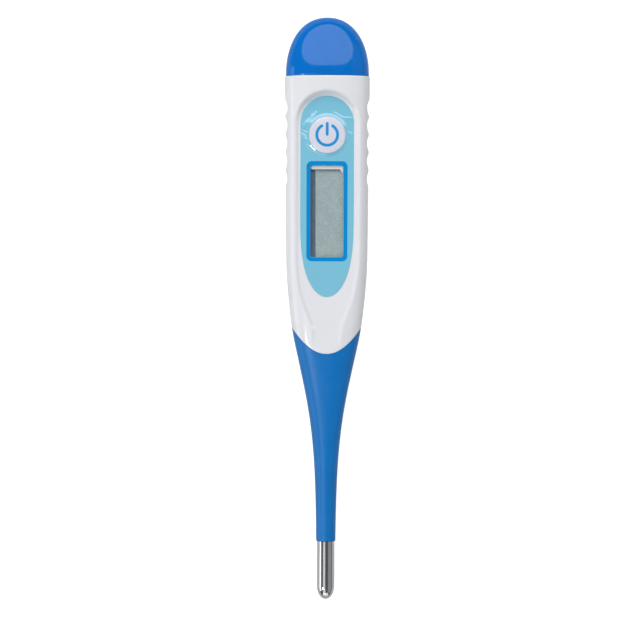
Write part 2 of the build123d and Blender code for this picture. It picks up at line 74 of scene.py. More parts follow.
PROBE_RADIUS = 2.05
BODY_GAIN = 7.10
TAPER_MIDDLE_Y = -13.7
TAPER_LENGTH = 8.33
SHOULDER_SWELL = 0.17
SHOULDER_Y = -4.5
SHOULDER_LENGTH = 5.0
WAIST_SWELL = 0.17
WAIST_Y = 7.0
WAIST_LENGTH = 8.0
CAP_FLARE = 0.22
CAP_FLARE_Y = 42.0
CAP_FLARE_LENGTH = 3.0
BODY_ASPECT = 0.57
ROUNDING_Y = -23.0
ROUNDING_LENGTH = 5.0
CENTRE_RISE = 0.35
CENTRE_RISE_Y = 3.0
CENTRE_RISE_LENGTH = 4.0
ROUND_POWER = 2.0
SQUARE_GAIN = 0.8
SQUARE_POWER = 2.8
SQUARE_Y = -16.0
SQUARE_LENGTH = 6.0
TONGUE_TIP_Y = -9.95
TONGUE_RISE = 5.8
TONGUE_SIDE_X = 7.6
BACK_BLUR = 0.12

WINDOW_HALF_WIDTH = 3.6
WINDOW_LOW_Y = 11.1
WINDOW_HIGH_Y = 31.1
WINDOW_ROUND = 0.5


# ---------------- the outer form
def rise(value):
    """A smooth step from 0, far below zero, to 1, far above it."""
    return 1.0 / (1.0 + math.exp(-value))


def half_width(y):
    """Half the object's width at y, from the probe's tip to the cap's joint."""
    taper = PROBE_RADIUS + BODY_GAIN * rise((y - TAPER_MIDDLE_Y) / TAPER_LENGTH)
    shoulder = SHOULDER_SWELL * math.exp(-(((y - SHOULDER_Y) / SHOULDER_LENGTH) ** 2))
    waist = WAIST_SWELL * math.exp(-(((y - WAIST_Y) / WAIST_LENGTH) ** 2))
    return taper + shoulder + waist + CAP_FLARE * rise((y - CAP_FLARE_Y) / CAP_FLARE_LENGTH)


def half_height(y):
    roundness = rise((ROUNDING_Y - y) / ROUNDING_LENGTH)
    return half_width(y) * (BODY_ASPECT + (1.0 - BODY_ASPECT) * roundness)


def centre_height(y):
    return AXIS_Z + CENTRE_RISE * rise((y - CENTRE_RISE_Y) / CENTRE_RISE_LENGTH)


def squareness(y):
    return ROUND_POWER + SQUARE_GAIN * rise((y - SQUARE_Y) / SQUARE_LENGTH)


def boundary_y(x):
    """The curved line where the white casing meets the blue sleeve."""
    return TONGUE_TIP_Y + TONGUE_RISE * (x / TONGUE_SIDE_X) ** 2


def smooth_min(a, b, blur):
    mix = max(0.0, min(1.0, 0.5 + 0.5 * (b - a) / blur))
    return b + (a - b) * mix - blur * mix * (1.0 - mix)


def smooth_max(a, b, blur):
    return -smooth_min(-a, -b, blur)


def soft_clamp(value, hard):
    """0 below 0 and 1 above 1, with rounded corners; a larger hard is a sharper corner."""
    value = max(-2.0, min(3.0, value))
    low = math.log1p(math.exp(hard * value))
    high = math.log1p(math.exp(hard * (value - 1.0)))
    return (low - high) / hard


def signed_power(value, power):
    return math.copysign(abs(value) ** power, value)


def section_point(angle, wide, high, middle_z, power):
    """A point of a superellipse, angle in degrees from +X towards +Z."""
    a = math.radians(angle)
    x = wide * signed_power(math.cos(a), 2.0 / power)
    return x, middle_z + high * signed_power(math.sin(a), 2.0 / power)


def above_back(z):
    """The flat of the back, with a slightly rounded border."""
    return smooth_max(z, 0.0, BACK_BLUR)


# ---------------- mesh building
class Form:
    """Points in millimetres, and faces."""

    def __init__(self):
        self.points = []
        self.faces = []

    def add(self, points):
        first = len(self.points)
        self.points.extend(points)
        return list(range(first, len(self.points)))

    def bridge(self, a, b, closed=True):
        for i in range(len(a) if closed else len(a) - 1):
            j = (i + 1) % len(a)
            self.faces.append((a[i], a[j], b[j], b[i]))

    def chain(self, loops):
        for a, b in zip(loops, loops[1:]):
            self.bridge(a, b)

    def fan(self, loop, point):
        tip = self.add([point])[0]
        for i in range(len(loop)):
            self.faces.append((loop[i], loop[(i + 1) % len(loop)], tip))

    def close(self, loop):
        """Closes a loop with a fan round its own middle."""
        count = len(loop)
        middle = [sum(self.points[i][k] for i in loop) / count for k in range(3)]
        self.fan(loop, tuple(middle))


def piece(name, form, material, body="casing", stands_for=(), sharp=38.0):
    mesh = bpy.data.meshes.new(name)
    mesh.from_pydata([(x * MM, y * MM, z * MM) for x, y, z in form.points], [], form.faces)
    tidy = bmesh.new()
    tidy.from_mesh(mesh)
    bmesh.ops.recalc_face_normals(tidy, faces=tidy.faces)
    tidy.to_mesh(mesh)
    tidy.free()
    mesh.shade_smooth()
    mesh.set_sharp_from_angle(angle=math.radians(sharp))
    mesh.materials.append(material)
    made = bpy.data.objects.new(name, mesh)
    bpy.context.scene.collection.objects.link(made)
    if body:
        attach(made, body)
    if stands_for:
        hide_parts(*stands_for)
    return made


def sheet_form(points, faces, top, bottom):
    """A closed sheet: flat points (x, y) with faces, raised between two height functions."""
    form = Form()
    upper = form.add([(x, y, top(x, y)) for x, y in points])
    lower = form.add([(x, y, bottom(x, y)) for x, y in points])
    uses = {}
    for face in faces:
        form.faces.append(tuple(upper[i] for i in face))
        form.faces.append(tuple(lower[i] for i in reversed(face)))
        for i in range(len(face)):
            edge = (face[i], face[(i + 1) % len(face)])
            uses[tuple(sorted(edge))] = uses.get(tuple(sorted(edge)), ()) + (edge,)
    for edges in uses.values():
        if len(edges) == 1:
            a, b = edges[0]
            form.faces.append((upper[b], upper[a], lower[a], lower[b]))
    return form


def ring_faces(steps, count):
    """Faces between steps + 1 rings of count points each."""
    faces = []
    for step in range(steps):
        here, beyond = step * count, (step + 1) * count
        for i in range(count):
            j = (i + 1) % count
            faces.append((here + i, here + j, beyond + j, beyond + i))
    return faces


def plate(loops, top, bottom):
    """A closed sheet from an outline and any holes in it, each a list of (x, y)."""
    points = [p for loop in loops for p in loop]
    faces = tessellate_polygon([[Vector((x, y, 0.0)) for x, y in loop] for loop in loops])
    return sheet_form(points, [tuple(f) for f in faces], top, bottom)


def rounded_rectangle(half_x, low_y, high_y, radius, steps=8):
    loop = []
    for corner, (sx, sy) in enumerate(((1, 1), (-1, 1), (-1, -1), (1, -1))):
        cx = sx * (half_x - radius)
        cy = high_y - radius if sy > 0 else low_y + radius
        for step in range(steps + 1):
            a = math.radians(90.0 * corner + 90.0 * step / steps)
            loop.append((cx + radius * math.cos(a), cy + radius * math.sin(a)))
    return loop


def circle(radius, count, x=0.0, y=0.0):
    return [(x + radius * math.cos(2 * math.pi * i / count), y + radius * math.sin(2 * math.pi * i / count))
            for i in range(count)]


# ---------------- materials
class Look:
    """Builds one procedural material on object coordinates, at the real scale."""

    def __init__(self, name):
        self.material = bpy.data.materials.new(name)
        self.material.use_nodes = True
        self.tree = self.material.node_tree
        self.shader = self.tree.nodes["Principled BSDF"]
        self.coords = self.node("ShaderNodeTexCoord").outputs["Object"]

    def node(self, kind, **inputs):
        made = self.tree.nodes.new(kind)
        for key, value in inputs.items():
            made.inputs[key].default_value = value
        return made

    def link(self, a, b):
        self.tree.links.new(a, b)

    def stretched(self, x, y, z):
        mapping = self.node("ShaderNodeMapping")
        mapping.inputs["Scale"].default_value = (x, y, z)
        self.link(self.coords, mapping.inputs["Vector"])
        return mapping.outputs["Vector"]

    def noise(self, grain_mm, detail=3.0, coords=None):
        made = self.node("ShaderNodeTexNoise", Scale=1.0 / (grain_mm * MM), Detail=detail)
        self.link(coords or self.coords, made.inputs["Vector"])
        return made.outputs["Fac"]

    def remap(self, value, low, high, from_low=0.3, from_high=0.7):
        made = self.node("ShaderNodeMapRange")
        for index, number in enumerate((from_low, from_high, low, high)):
            made.inputs[1 + index].default_value = number
        self.link(value, made.inputs[0])
        return made.outputs[0]

    def mix(self, share, a, b):
        """Colour a towards colour b by share; each may be an output or a fixed colour."""
        made = self.tree.nodes.new("ShaderNodeMix")
        made.data_type = "RGBA"
        if isinstance(share, float):
            made.inputs[0].default_value = share
        else:
            self.link(share, made.inputs[0])
        for socket, value in ((made.inputs[6], a), (made.inputs[7], b)):
            if isinstance(value, (tuple, list)):
                socket.default_value = (*value[:3], 1.0)
            else:
                self.link(value, socket)
        return made.outputs[2]

    def varied(self, colour, spread, grain_mm):
        """The colour with slow, slight variation."""
        dark = [c * (1.0 - spread) for c in colour]
        light = [min(1.0, c * (1.0 + spread)) for c in colour]
        return self.mix(self.remap(self.noise(grain_mm), 0.0, 1.0), dark, light)

    def worn(self, colour, worn_colour, amount):
        """Outer edges turn towards worn_colour."""
        point = self.tree.nodes.new("ShaderNodeNewGeometry").outputs["Pointiness"]
        return self.mix(self.remap(point, 0.0, amount, 0.52, 0.60), colour, worn_colour)

    def rough(self, middle, spread, grain_mm, coords=None):
        out = self.remap(self.noise(grain_mm, 4.0, coords), max(0.02, middle - spread), middle + spread)
        self.link(out, self.shader.inputs["Roughness"])

    def bump(self, height_mm, grain_mm, coords=None, detail=2.0):
        made = self.node("ShaderNodeBump", Strength=1.0, Distance=height_mm * MM)
        self.link(self.noise(grain_mm, detail, coords), made.inputs["Height"])
        self.link(made.outputs[0], self.shader.inputs["Normal"])

    def done(self, colour, **fixed):
        self.link(colour, self.shader.inputs["Base Color"])
        for key, value in fixed.items():
            self.shader.inputs[key.replace("_", " ")].default_value = value
        return self.material


def plastic(name, colour, roughness=0.22, spread=0.03, grain=6.0, bump=0.0006, bump_grain=0.5, worn=0.25,
            level=0.5, worn_colour=None, coat=0.0):
    look = Look(name)
    base = look.varied(colour, spread, grain)
    base = look.worn(base, worn_colour or [min(1.0, c * 0.6 + 0.38) for c in colour], worn)
    look.rough(roughness, roughness * 0.25, 2.2)
    look.bump(bump, bump_grain)
    return look.done(base, Specular_IOR_Level=level, Coat_Weight=coat)


def metal(name, colour, roughness=0.25, stretch=(1.0, 1.0, 1.0), grain=0.25, bump=0.0008, spread=0.08):
    look = Look(name)
    drawn = look.stretched(*stretch)
    base = look.mix(look.remap(look.noise(grain * 4, 3.0, drawn), 0.0, 1.0),
                    [c * (1 - spread) for c in colour], [min(1.0, c * (1 + spread)) for c in colour])
    base = look.worn(base, [min(1.0, c * 1.25) for c in colour], 0.5)
    look.rough(roughness, roughness * 0.35, grain, drawn)
    look.bump(bump, grain, drawn)
    return look.done(base, Metallic=1.0)


def clear_lens():
    """Clear acrylic: what is behind it shows, and it mirrors a little more at a slant."""
    look = Look("clear_window")
    look.shader.inputs["Roughness"].default_value = 0.06
    look.bump(0.0003, 1.4)
    look.done(look.varied([0.02, 0.02, 0.02], 0.3, 3.0))
    see = look.node("ShaderNodeBsdfTransparent")
    see.inputs["Color"].default_value = (0.99, 0.995, 0.995, 1.0)
    share = look.node("ShaderNodeFresnel", IOR=1.3)
    mixer = look.tree.nodes.new("ShaderNodeMixShader")
    look.link(look.remap(share.outputs[0], 0.015, 0.6, 0.02, 1.0), mixer.inputs[0])
    look.link(see.outputs[0], mixer.inputs[1])
    look.link(look.shader.outputs[0], mixer.inputs[2])
    look.link(mixer.outputs[0], look.tree.nodes["Material Output"].inputs["Surface"])
    return look.material


def display_glass():
    """The grey-green face of the display, with fine speckle."""
    look = Look("lcd_grey")
    base = look.varied([0.45, 0.545, 0.55], 0.05, 1.6)
    base = look.mix(look.remap(look.noise(0.30, 1.0), 0.0, 0.6, 0.54, 0.66), base, [0.62, 0.72, 0.72])
    base = look.mix(look.remap(look.noise(0.24, 1.0), 0.5, 0.0, 0.34, 0.46), base, [0.34, 0.42, 0.43])
    look.rough(0.35, 0.08, 0.8)
    look.bump(0.0005, 0.3)
    return look.done(base, Specular_IOR_Level=0.27)


def zebra():
    """Rubber with fine conducting stripes across it."""
    look = Look("zebra_rubber")
    wave = look.node("ShaderNodeTexWave", Scale=1400.0, Distortion=0.2)
    look.link(look.coords, wave.inputs["Vector"])
    base = look.mix(wave.outputs["Fac"], [0.42, 0.16, 0.13], [0.02, 0.02, 0.02])
    look.rough(0.6, 0.1, 0.5)
    look.bump(0.002, 0.2)
    return look.done(base)


def board():
    """Solder mask with slightly lighter tracks under it."""
    look = Look("board_green")
    wave = look.node("ShaderNodeTexWave", Scale=260.0, Distortion=6.0, Detail=1.0)
    look.link(look.coords, wave.inputs["Vector"])
    tracks = look.remap(wave.outputs["Fac"], 0.0, 1.0, 0.62, 0.70)
    base = look.mix(tracks, look.varied([0.010, 0.14, 0.06], 0.15, 2.5), [0.03, 0.26, 0.11])
    base = look.worn(base, [0.45, 0.42, 0.28], 0.6)
    look.rough(0.32, 0.1, 1.0)
    look.bump(0.004, 0.8)
    return look.done(base)


def sleeve_rubber():
    look = Look("sleeve_blue")
    base = look.varied(SLEEVE_BLUE, 0.04, 7.0)
    look.rough(0.36, 0.06, 1.2)
    look.bump(0.0016, 0.16)
    return look.done(base, Specular_IOR_Level=0.35)


CASING_WHITE = [0.775, 0.775, 0.800]
CAP_BLUE = [0.0, 0.150, 0.550]
SLEEVE_BLUE = [0.0, 0.158, 0.480]
LABEL_BLUE = [0.205, 0.540, 0.700]
PRINT_BLUE = [0.0, 0.245, 0.620]

materials = {
    "casing_white": plastic("casing_white", CASING_WHITE, 0.13, 0.012, 9.0, 0.0004, 0.9, 0.5, 0.50,
                            [0.95, 0.95, 0.96]),
    "sleeve_blue": sleeve_rubber(),
    "cap_blue": plastic("cap_blue", CAP_BLUE, 0.07, 0.03, 5.0, 0.0004, 1.6, 0.15, 0.36, [0.06, 0.30, 0.76]),
    "plug_grey": plastic("plug_grey", [0.62, 0.63, 0.66], 0.38, 0.04, 3.0, 0.002, 0.3),
    "seal_black": plastic("seal_black", [0.02, 0.02, 0.022], 0.5, 0.15, 1.0, 0.002, 0.2),
    "label_film": plastic("label_film", LABEL_BLUE, 0.10, 0.015, 8.0, 0.0004, 1.2, 0.0, 0.5, None, 1.0),
    "print_blue": plastic("print_blue", PRINT_BLUE, 0.16, 0.03, 2.0, 0.0003, 0.8, 0.0, 0.3),
    "symbol_blue": plastic("symbol_blue", [0.022, 0.280, 0.640], 0.16, 0.06, 0.8, 0.0003, 0.8, 0.0, 0.3),
    "clear_window": clear_lens(),
    "button_white": plastic("button_white", [0.67, 0.675, 0.76], 0.16, 0.02, 2.4, 0.0006, 0.8, 0.5, 0.5,
                            [0.9, 0.9, 0.95]),
    "inner_white": plastic("inner_white", [0.88, 0.89, 0.92], 0.42, 0.03, 4.0, 0.002, 0.4),
    "lcd_grey": display_glass(),
    # painted shadow: this dark blue-grey stands for the shade the window's left wall casts on the display
    "lcd_painted_shadow": plastic("lcd_painted_shadow", [0.165, 0.210, 0.300], 0.3, 0.05, 1.4, 0.0004, 0.6, 0.0, 0.3),
    "lcd_glass": plastic("lcd_glass", [0.42, 0.50, 0.48], 0.08, 0.04, 3.0, 0.0002, 0.9, 0.6, 0.5),
    "lcd_reflector": plastic("lcd_reflector", [0.40, 0.45, 0.44], 0.4, 0.05, 0.6, 0.002, 0.1),
    "zebra_rubber": zebra(),
    "board_green": board(),
    "component_grey": plastic("component_grey", [0.30, 0.22, 0.15], 0.4, 0.2, 0.5, 0.003, 0.2, 0.7),
    "epoxy_black": plastic("epoxy_black", [0.012, 0.012, 0.013], 0.18, 0.3, 0.8, 0.006, 1.2),
    "spring_steel": metal("spring_steel", [0.66, 0.65, 0.62], 0.26, (1, 12, 1), 0.6),
    "brass": metal("brass", [0.78, 0.57, 0.25], 0.28, (1, 8, 1), 0.5),
    "ceramic_disc": plastic("ceramic_disc", [0.76, 0.74, 0.68], 0.45, 0.05, 0.7, 0.002, 0.15),
    "cell_steel": metal("cell_steel", [0.70, 0.70, 0.69], 0.2, (1, 1, 6), 0.5),
    "wire_enamel": plastic("wire_enamel", [0.50, 0.16, 0.04], 0.25, 0.15, 0.9, 0.001, 0.2),
    "holder_white": plastic("holder_white", [0.72, 0.72, 0.71], 0.45, 0.04, 1.5, 0.002, 0.3),
    "tip_steel": metal("tip_steel", [0.62, 0.61, 0.60], 0.09, (9.0, 0.35, 9.0), 0.8, 0.0006),
    "thermal_epoxy": plastic("thermal_epoxy", [0.45, 0.45, 0.43], 0.5, 0.1, 0.5, 0.003, 0.2),
    "bead_black": plastic("bead_black", [0.03, 0.03, 0.04], 0.12, 0.2, 0.4, 0.001, 0.3),
}


# ---------------- casing
LINE_X = 8.9
RIM_HALF_WIDTH = 7.2
RIM_CENTRE_Y = 40.1
RIM_RADIUS = 7.2
FLOOR_RADIUS = 6.15
SOCKET_WIDE = 7.6
SOCKET_HIGH = 3.1
SOCKET_Z = 4.3
SOCKET_END_Y = 44.5
CAVITY_END_Y = 5.0
FLAT_X = 6.0
GRIP_COUNT = 5
GRIP_FIRST_Y = 43.7
GRIP_PITCH = 3.88
GRIP_RADIUS = 3.3
GRIP_DEEPEST_X = 8.70
RIM_TAPER = 0.00172
RIM_TAPER_Y = 15.0
RIM_TAPER_POWER = 2.65
RIM_NOSE_HALF_WIDTH = 3.2
RIM_NOSE_BLUR = 1.2
FIELD_WALL_LOW = 0.55
FIELD_WALL_GAIN = 0.50
FIELD_WALL_Y = 9.0
FIELD_WALL_LENGTH = 2.5
FIELD_EDGE_HARDNESS = 13.0
FIELD_NOSE_Y = 2.0
FIELD_LEAST_DEPTH = 0.05
FIELD_FADE_Y = -9.3
FIELD_FADE_LENGTH = 2.2
GRIP_EDGE_BLUR = 0.10
NO_GRIP = 99.0
BEND_FROM_Y = 3.0
SETTLE_ROUNDS = 12
JOINT_GAP = 0.02
CASING_FILLET = 0.28
BUTTON_HOLE_RADIUS = 4.25
# how far down each spacing of the casing's rows goes, and the spacing
ROW_SPACINGS = ((46.0, 0.22), (25.5, 0.31), (3.3, 0.45))
# the casing's edge under the sleeve: how far each ring is moved in, and how far beyond the curved edge it is
UNDER_SLEEVE = ((0.0, -0.10), (0.03, -0.04), (0.10, 0.0), (0.42, 0.02), (0.42, 2.0))


def rim_half_width(y):
    """Half the width of the sunk field's rim."""
    taper = RIM_HALF_WIDTH - RIM_TAPER * max(0.0, RIM_TAPER_Y - y) ** RIM_TAPER_POWER
    return smooth_max(RIM_NOSE_HALF_WIDTH, taper, RIM_NOSE_BLUR)


def crown(x, y):
    """Height of the casing's top without the sunk field."""
    share = min(1.0, abs(x) / half_width(y))
    power = squareness(y)
    return centre_height(y) + half_height(y) * max(0.0, 1.0 - share ** power) ** (1.0 / power)


def sunk_share(x, y):
    """0 on the floor of the sunk field, 1 outside its rim."""
    if y > RIM_CENTRE_Y:
        return (math.hypot(x, y - RIM_CENTRE_Y) - FLOOR_RADIUS) / (RIM_RADIUS - FLOOR_RADIUS)
    wide = rim_half_width(y)
    wall = FIELD_WALL_LOW + FIELD_WALL_GAIN * rise((y - FIELD_WALL_Y) / FIELD_WALL_LENGTH)
    return (abs(x) - wide + wall) / wall


def casing_top(x, y):
    """Height of the casing's top, with the sunk field in it."""
    high = crown(x, y)
    share = soft_clamp(sunk_share(x, y), FIELD_EDGE_HARDNESS)
    if share > 0.999:
        return high
    rim = crown(rim_half_width(y), y)
    low_floor = smooth_min(FLOOR_Z, rim - FIELD_LEAST_DEPTH, FIELD_LEAST_DEPTH)
    floor = low_floor if y < FIELD_NOSE_Y else FLOOR_Z
    fade = max(0.0, min(1.0, (y - FIELD_FADE_Y) / FIELD_FADE_LENGTH))
    depth = max(0.0, high - floor) * fade
    return high - depth * (1.0 - share)


def grip_limit(y):
    """How far out the scalloped sides reach at y."""
    reach = NO_GRIP
    for row in range(GRIP_COUNT):
        away = abs(y - (GRIP_FIRST_Y - GRIP_PITCH * row))
        if away < 0.75 * GRIP_RADIUS:
            reach = min(reach, GRIP_DEEPEST_X + GRIP_RADIUS - math.sqrt(GRIP_RADIUS ** 2 - away ** 2))
    return reach


def casing_columns():
    """The lines that run along the casing, as ("angle", degrees) or ("x", millimetres), in order round it.

    The x lines are wide apart over the middle and close over the sunk field's rim.
    """
    side = [0, 4, 8, 12, 16, 20, 23.5]
    lines = [i * 0.3 for i in range(18)] + [5.3 + i * 0.18 for i in range(16)]
    right = [("angle", a) for a in side] + [("x", x) for x in reversed(lines[1:])]
    left = [("x", -x) for x in lines] + [("angle", 180 - a) for a in reversed(side)]
    return right + left + [("angle", 180 + i * 6) for i in range(1, 30)]


def casing_point(column, y):
    kind, value = column
    wide, high = half_width(y), half_height(y)
    if kind == "x":
        x = value * min(1.0, wide / LINE_X)
        z = casing_top(x, y)
    else:
        x, z = section_point(value, wide, high, centre_height(y), squareness(y))
    limit = grip_limit(y)
    if limit < NO_GRIP:
        x = math.copysign(smooth_min(abs(x), limit, GRIP_EDGE_BLUR), x)
    return x, y, above_back(z)


def bent_point(column, share, beyond=0.0):
    """A point where the casing's lines bend to follow the sleeve's edge; share runs from 0 to 1."""
    y = BEND_FROM_Y
    for _ in range(SETTLE_ROUNDS):
        x = casing_point(column, y)[0]
        y = BEND_FROM_Y + (boundary_y(x) - beyond - BEND_FROM_Y) * share
    return casing_point(column, y)


def shrunk(ring, inset):
    """A ring of casing points moved inwards, square to the ring, by the inset."""
    moved = []
    for i, (x, y, z) in enumerate(ring):
        after = ring[(i + 1) % len(ring)]
        tx, tz = after[0] - ring[i - 1][0], after[2] - ring[i - 1][2]
        length = math.hypot(tx, tz) or 1.0
        moved.append((x - inset * tz / length, y, z + inset * tx / length))
    return moved


def cavity_point(column, y):
    """The inner wall at y, on the same column."""
    kind, value = column
    wide, high = half_width(y) - WALL, half_height(y) - WALL
    middle, power = centre_height(y), squareness(y)
    if kind == "angle" and not 0 < value < 180:
        x, z = section_point(value, wide, high, middle, power)
        return x, y, z
    outer = casing_point(column, y)[0]
    flat = FLAT_X * min(1.0, half_width(y) / LINE_X)
    x = abs(outer)
    if x > flat:
        x = flat + (x - flat) * (wide - flat) / (half_width(y) - flat)
    x = min(x, wide * 0.9995)
    z = middle + high * (1.0 - (x / wide) ** power) ** (1.0 / power)
    return math.copysign(x, outer), y, min(CEILING_Z, z)


def socket_point(column, y):
    """The smooth socket that takes the cap's plug."""
    x, _, z = cavity_point(column, SOCKET_END_Y)
    wide, high = half_width(SOCKET_END_Y) - WALL, half_height(SOCKET_END_Y) - WALL
    share = max(-1.0, min(1.0, x / wide))
    up = 1.0 if z >= centre_height(SOCKET_END_Y) - 1e-6 else -1.0
    lift = max(0.0, 1.0 - abs(share) ** SQUARE_POWER) ** (1.0 / SQUARE_POWER)
    return share * SOCKET_WIDE, y, SOCKET_Z + up * SOCKET_HIGH * lift


def casing_rows():
    """The rows from below the cap end's fillet to where the lines start to bend."""
    rows = []
    y = CAP_JOINT_Y - 0.5
    for low_y, spacing in ROW_SPACINGS:
        while y > low_y:
            rows.append(y)
            y -= spacing
    return rows


def find_range(values, low, high):
    inside = [i for i, v in enumerate(values) if low <= v <= high]
    return inside[0], inside[-1]


def region_loop(rows, columns):
    """Indexes (row, column) round the border of a block of the grid."""
    (r0, r1), (c0, c1) = rows, columns
    loop = [(r0, c) for c in range(c0, c1)] + [(r, c1) for r in range(r0, r1)]
    return loop + [(r1, c) for c in range(c1, c0, -1)] + [(r, c0) for r in range(r1, r0, -1)]


def to_circle(radius, middle_y):
    def place(x, y):
        length = math.hypot(x, y - middle_y)
        return x / length * radius, middle_y + (y - middle_y) / length * radius
    return place


def to_window(half_x, low_y, high_y, radius):
    def place(x, y):
        cx = max(-half_x + radius, min(half_x - radius, x))
        cy = max(low_y + radius, min(high_y - radius, y))
        dx, dy = x - cx, y - cy
        length = math.hypot(dx, dy)
        return cx + dx / length * radius, cy + dy / length * radius
    return place


# each opening: the block of the grid left out for it, in x and in y, and where that block's border moves to
HOLES = (
    ((-4.9, 4.9), (BUTTON_Y - 4.8, BUTTON_Y + 4.8), to_circle(BUTTON_HOLE_RADIUS, BUTTON_Y)),
    ((-4.25, 4.25), (10.4, 31.8), to_window(WINDOW_HALF_WIDTH, WINDOW_LOW_Y, WINDOW_HIGH_Y, WINDOW_ROUND)),
)


def open_grid(form, grid, holes):
    """Faces between the rows of a grid of point numbers, except inside the given blocks."""
    count = len(grid[0])
    for r in range(len(grid) - 1):
        for c in range(count):
            if any(r0 <= r < r1 and c0 <= c < c1 for (r0, r1), (c0, c1) in holes):
                continue
            n = (c + 1) % count
            form.faces.append((grid[r][c], grid[r][n], grid[r + 1][n], grid[r + 1][c]))


def casing_form():
    form = Form()
    columns = casing_columns()
    ys = casing_rows()
    x_index = [i for i, (kind, _) in enumerate(columns) if kind == "x"]
    # outer skin, from the filleted cap end to the curved edge at the sleeve
    grid = []
    for step in range(6):
        a = math.radians(90.0 * step / 5)
        y = CAP_JOINT_Y - JOINT_GAP - CASING_FILLET * (1.0 - math.cos(a))
        inset = CASING_FILLET * (1.0 - math.sin(a))
        grid.append(form.add(shrunk([casing_point(c, y) for c in columns], inset)))
    first = len(grid)
    grid += [form.add([casing_point(c, y) for c in columns]) for y in ys]
    steps = 34
    grid += [form.add([bent_point(c, i / steps) for c in columns]) for i in range(steps)]
    blocks = []
    for (x_low, x_high), (y_low, y_high), _ in HOLES:
        rows = find_range(ys, y_low, y_high)
        cols = [i for i in x_index if x_low <= columns[i][1] <= x_high]
        blocks.append(((rows[0] + first, rows[1] + first), (cols[0], cols[-1])))
    open_grid(form, grid, blocks)
    # rounded edge at the sleeve, then the part under the sleeve
    under = []
    for inset, beyond in UNDER_SLEEVE:
        under.append(form.add(shrunk([bent_point(c, 1.0, beyond) for c in columns], inset)))
    form.bridge(grid[-1], under[0])
    form.chain(under)
    form.close(under[-1])
    # socket, cavity
    lip = form.add([socket_point(c, CAP_JOINT_Y - JOINT_GAP) for c in columns])
    seat = form.add([socket_point(c, SOCKET_END_Y) for c in columns])
    form.bridge(grid[0], lip)
    form.bridge(lip, seat)
    inner_ys = [SOCKET_END_Y] + [y for y in ys if CAVITY_END_Y < y < SOCKET_END_Y - 0.05]
    inner = [form.add([cavity_point(c, y) for c in columns]) for y in inner_ys]
    form.bridge(seat, inner[0])
    inner_blocks = []
    for (r, cols), (_, (y_low, y_high), _) in zip(blocks, HOLES):
        rows = find_range(inner_ys, y_low, y_high)
        inner_blocks.append((rows, cols))
    open_grid(form, inner, inner_blocks)
    form.close(inner[-1])
    # openings
    for block, inner_block, (_, _, place) in zip(blocks, inner_blocks, HOLES):
        outer_border = [grid[r][c] for r, c in region_loop(*block)]
        inner_border = [inner[r][c] for r, c in region_loop(*inner_block)]
        outer_edge = form.add([(*place(*form.points[i][:2]), FLOOR_Z) for i in outer_border])
        inner_edge = form.add([(*place(*form.points[i][:2]), CEILING_Z) for i in inner_border])
        form.bridge(outer_border, outer_edge)
        form.bridge(inner_border, inner_edge)
        form.bridge(outer_edge, inner_edge)
    return form


piece("casing_shell", casing_form(), materials["casing_white"], "casing", ("casing",), 42.0)


# ---------------- blue sleeve
SLEEVE_SIDES = 72
BORE = 0.95
HOLDER_BORE = 1.42
RIM_PROUD = -0.05
EDGE_THICKNESS = 0.34
SPIGOT_DEPTH = 1.2


def sleeve_point(angle, y, extra=0.0):
    wide, high = half_width(y) + extra, half_height(y) + extra
    x, z = section_point(angle, wide, high, centre_height(y), squareness(y))
    return x, y, above_back(z)


def sleeve_ring(y, extra=0.0):
    return [sleeve_point(360.0 * i / SLEEVE_SIDES, y, extra) for i in range(SLEEVE_SIDES)]


def bore_ring(y, radius=BORE):
    return [(radius * math.cos(2 * math.pi * i / SLEEVE_SIDES), y,
             AXIS_Z + radius * math.sin(2 * math.pi * i / SLEEVE_SIDES)) for i in range(SLEEVE_SIDES)]


def edge_ring(share, extra, low_y):
    """A ring between the curved edge (share 0) and the straight ring at low_y (share 1)."""
    ring = []
    for i in range(SLEEVE_SIDES):
        angle = 360.0 * i / SLEEVE_SIDES
        y = low_y
        for _ in range(SETTLE_ROUNDS):
            x = sleeve_point(angle, y)[0]
            y = boundary_y(x) + (low_y - boundary_y(x)) * share
        ring.append(sleeve_point(angle, y, extra))
    return ring


def tube(rings):
    """Closed solid from a chain of rings that ends where it began."""
    form = Form()
    loops = [form.add(ring) for ring in rings]
    form.chain(loops + loops[:1])
    return form


def sleeve_root_form():
    end = HINGE_FIRST_Y + HINGE_PITCH / 2
    rings = [edge_ring(0.0, -EDGE_THICKNESS, end), edge_ring(0.0, RIM_PROUD * 0.1, end)]
    rings += [edge_ring(0.002, RIM_PROUD * 0.75, end), edge_ring(0.006, RIM_PROUD, end)]
    for step in range(1, 31):
        share = (step / 30) ** 1.25
        rings.append(edge_ring(share, RIM_PROUD * (1.0 - share) ** 6, end))
    rings += [bore_ring(end), bore_ring(end + 1.0)]
    rings += [edge_ring(0.25, -SPIGOT_DEPTH, end), edge_ring(0.25, -EDGE_THICKNESS, end)]
    return tube(rings)


def straight_sleeve(top, bottom, count):
    rings = [sleeve_ring(top + (bottom - top) * i / count) for i in range(count + 1)]
    return tube(rings + [bore_ring(bottom), bore_ring(top)])


def sleeve_end_form():
    """The last length, open over the tip holder, with a crisp end round the metal."""
    top = HINGE_FIRST_Y - HINGE_PITCH * (HINGE_COUNT - 0.5)
    rings = [sleeve_ring(top + (SLEEVE_END_Y + 0.08 - top) * i / 8) for i in range(9)]
    rings += [sleeve_ring(SLEEVE_END_Y + 0.02, -0.02), sleeve_ring(SLEEVE_END_Y, -0.07)]
    return tube(rings + [bore_ring(SLEEVE_END_Y, HOLDER_BORE), bore_ring(top, HOLDER_BORE)])


def hinge_y(index):
    return HINGE_FIRST_Y - HINGE_PITCH * index


def bend(made):
    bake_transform(made)


